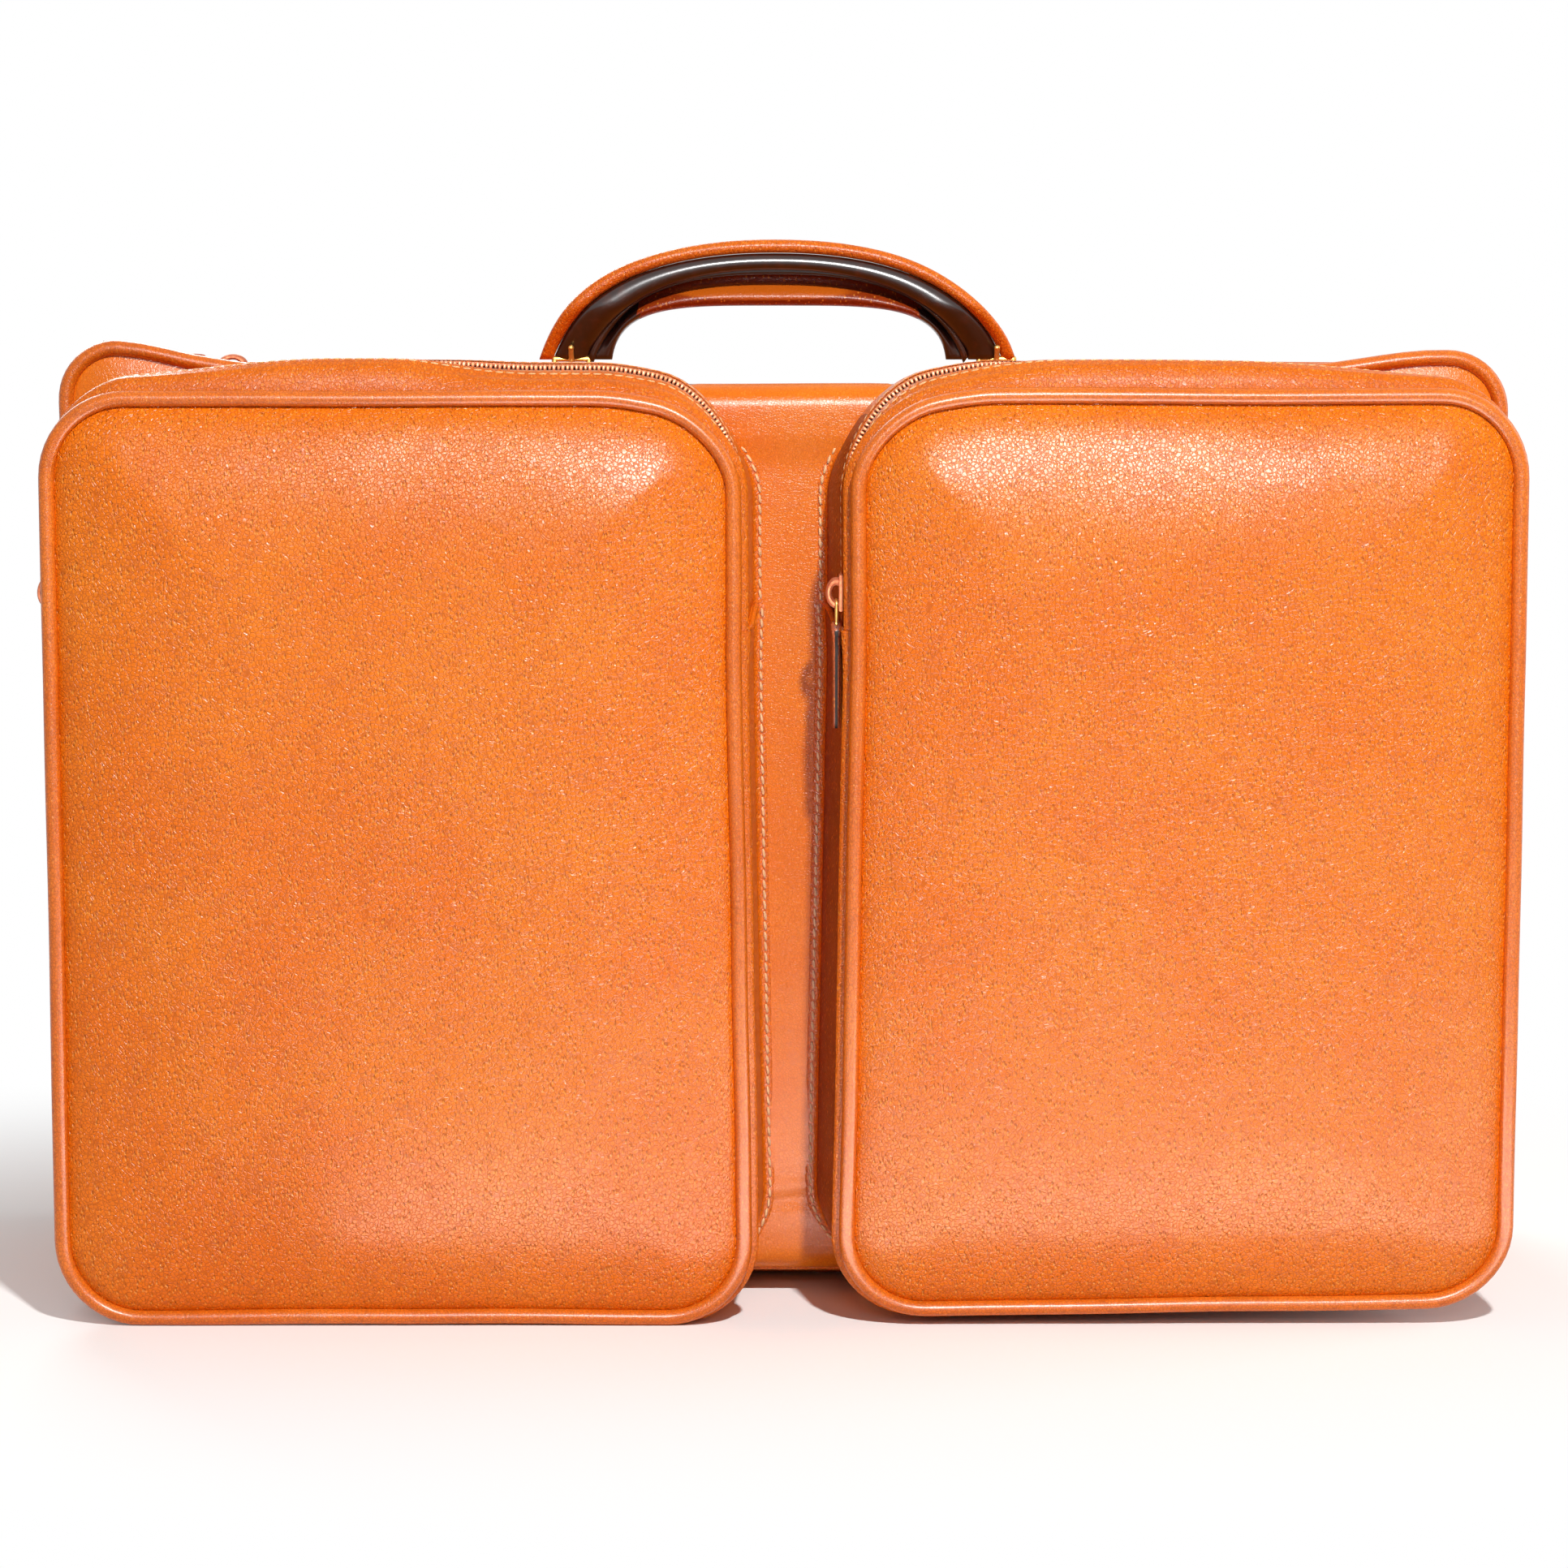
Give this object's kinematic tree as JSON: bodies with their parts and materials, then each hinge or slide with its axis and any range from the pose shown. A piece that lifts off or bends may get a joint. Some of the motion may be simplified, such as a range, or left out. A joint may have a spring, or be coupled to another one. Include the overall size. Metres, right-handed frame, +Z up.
{
  "type": "leather travel bag",
  "caption": "Soft-sided leather travel case that opens along a zip, with box pockets on its front, piped edges and an arched handle on rings.",
  "frame": {"origin": "on the floor, below the middle of the case without its pockets", "axes": "+X to the right seen from the front, +Y to the back, +Z up; the pockets face -Y"},
  "size_m": [0.5653, 0.2066, 0.4135],
  "materials": {
    "tan_leather": "pebbled, satin",
    "front_leather": "pebbled, satin",
    "piping_leather": "smooth, satin",
    "black_edge": "lacquered edge",
    "tab_leather": "smooth, satin",
    "brass": "polished",
    "zip": "satin",
    "board": "raw fibreboard",
    "lining": "plain woven"
  },
  "bodies": {
    "case": {"back_panel": "tan_leather", "back_piping": "piping_leather", "tray_gusset": "tan_leather", "tray_base": "tan_leather", "back_board": "board", "base_board": "board", "tray_lining": "lining", "main_zip_rear": "zip", "handle_plate": "brass", "left_staple": "brass", "right_staple": "brass"},
    "lid": {"front_panel": "tan_leather", "front_piping": "piping_leather", "lid_gusset": "tan_leather", "lid_base": "tan_leather", "front_board": "board", "lid_lining": "lining", "main_zip_front": "zip", "left_lower_front": "front_leather", "left_lower_piping": "piping_leather", "left_rear_gusset": "tan_leather", "left_lower_gusset": "tan_leather", "left_zip_rear": "zip", "right_lower_front": "front_leather", "right_lower_piping": "piping_leather", "right_rear_gusset": "tan_leather", "right_lower_gusset": "tan_leather", "right_zip_rear": "zip"},
    "left_mouth": {"left_upper_front": "front_leather", "left_upper_piping": "piping_leather", "left_mouth_gusset": "tan_leather", "left_zip_front": "zip"},
    "right_mouth": {"right_upper_front": "front_leather", "right_upper_piping": "piping_leather", "right_mouth_gusset": "tan_leather", "right_zip_front": "zip"},
    "left_slider": {"left_slider": "brass"},
    "left_link": {"left_link": "brass"},
    "left_tab": {"left_tab": "tab_leather"},
    "right_slider": {"right_slider": "brass"},
    "right_link": {"right_link": "brass"},
    "right_tab": {"right_tab": "tab_leather"},
    "main_slider": {"main_slider": "brass"},
    "main_link": {"main_link": "brass"},
    "main_tab": {"main_tab": "tab_leather"},
    "handle": {"handle_strap": "tan_leather", "handle_core": "black_edge", "handle_belly": "tan_leather", "left_ring": "brass", "right_ring": "brass"}
  },
  "joints": [
    {"name": "lid_hinge", "type": "hinge", "parent": "case", "child": "lid", "pos_m": [0, -0.031, -0.0005], "axis": [1, 0, 0], "range_deg": [0, 180]},
    {"name": "main_slider_travel", "type": "slide", "parent": "case", "child": "main_slider", "axis": [1, 0, 0], "range_m": [0, 0.46]},
    {"name": "main_link_swing", "type": "hinge", "parent": "main_slider", "child": "main_link", "pos_m": [-0.218, -0.031, 0.3655], "axis": [0, 1, 0], "range_deg": [-9, 110]},
    {"name": "main_tab_swing", "type": "hinge", "parent": "main_link", "child": "main_tab", "pos_m": [-0.22975, -0.031, 0.36736], "axis": [0, 1, 0], "range_deg": [0, 45]},
    {"name": "handle_swing", "type": "hinge", "parent": "case", "child": "handle", "pos_m": [0, 0.02, 0.3665], "axis": [1, 0, 0], "range_deg": [-60, 60]},
    {"name": "left_mouth_fold", "type": "hinge", "parent": "lid", "child": "left_mouth", "pos_m": [0, -0.132, 0.267], "axis": [1, 0, 0], "range_deg": [0, 35]},
    {"name": "left_slider_travel", "type": "slide", "parent": "lid", "child": "left_slider", "axis": [0, 0, 1], "range_m": [0, 0.035]},
    {"name": "left_link_swing", "type": "hinge", "parent": "left_slider", "child": "left_link", "pos_m": [-0.27994, -0.1075, 0.281], "axis": [0, 1, 0], "range_deg": [0, 120]},
    {"name": "left_tab_swing", "type": "hinge", "parent": "left_link", "child": "left_tab", "pos_m": [-0.27994, -0.1075, 0.2691], "axis": [0, 1, 0], "range_deg": [0, 45]},
    {"name": "right_mouth_fold", "type": "hinge", "parent": "lid", "child": "right_mouth", "pos_m": [0, -0.132, 0.267], "axis": [1, 0, 0], "range_deg": [0, 35]},
    {"name": "right_slider_travel", "type": "slide", "parent": "lid", "child": "right_slider", "axis": [0, 0, 1], "range_m": [0, 0.035]},
    {"name": "right_link_swing", "type": "hinge", "parent": "right_slider", "child": "right_link", "pos_m": [0.01993, -0.1075, 0.281], "axis": [0, 1, 0], "range_deg": [0, 25]},
    {"name": "right_tab_swing", "type": "hinge", "parent": "right_link", "child": "right_tab", "pos_m": [0.01993, -0.1075, 0.2691], "axis": [0, 1, 0], "range_deg": [0, 15]}
  ]
}
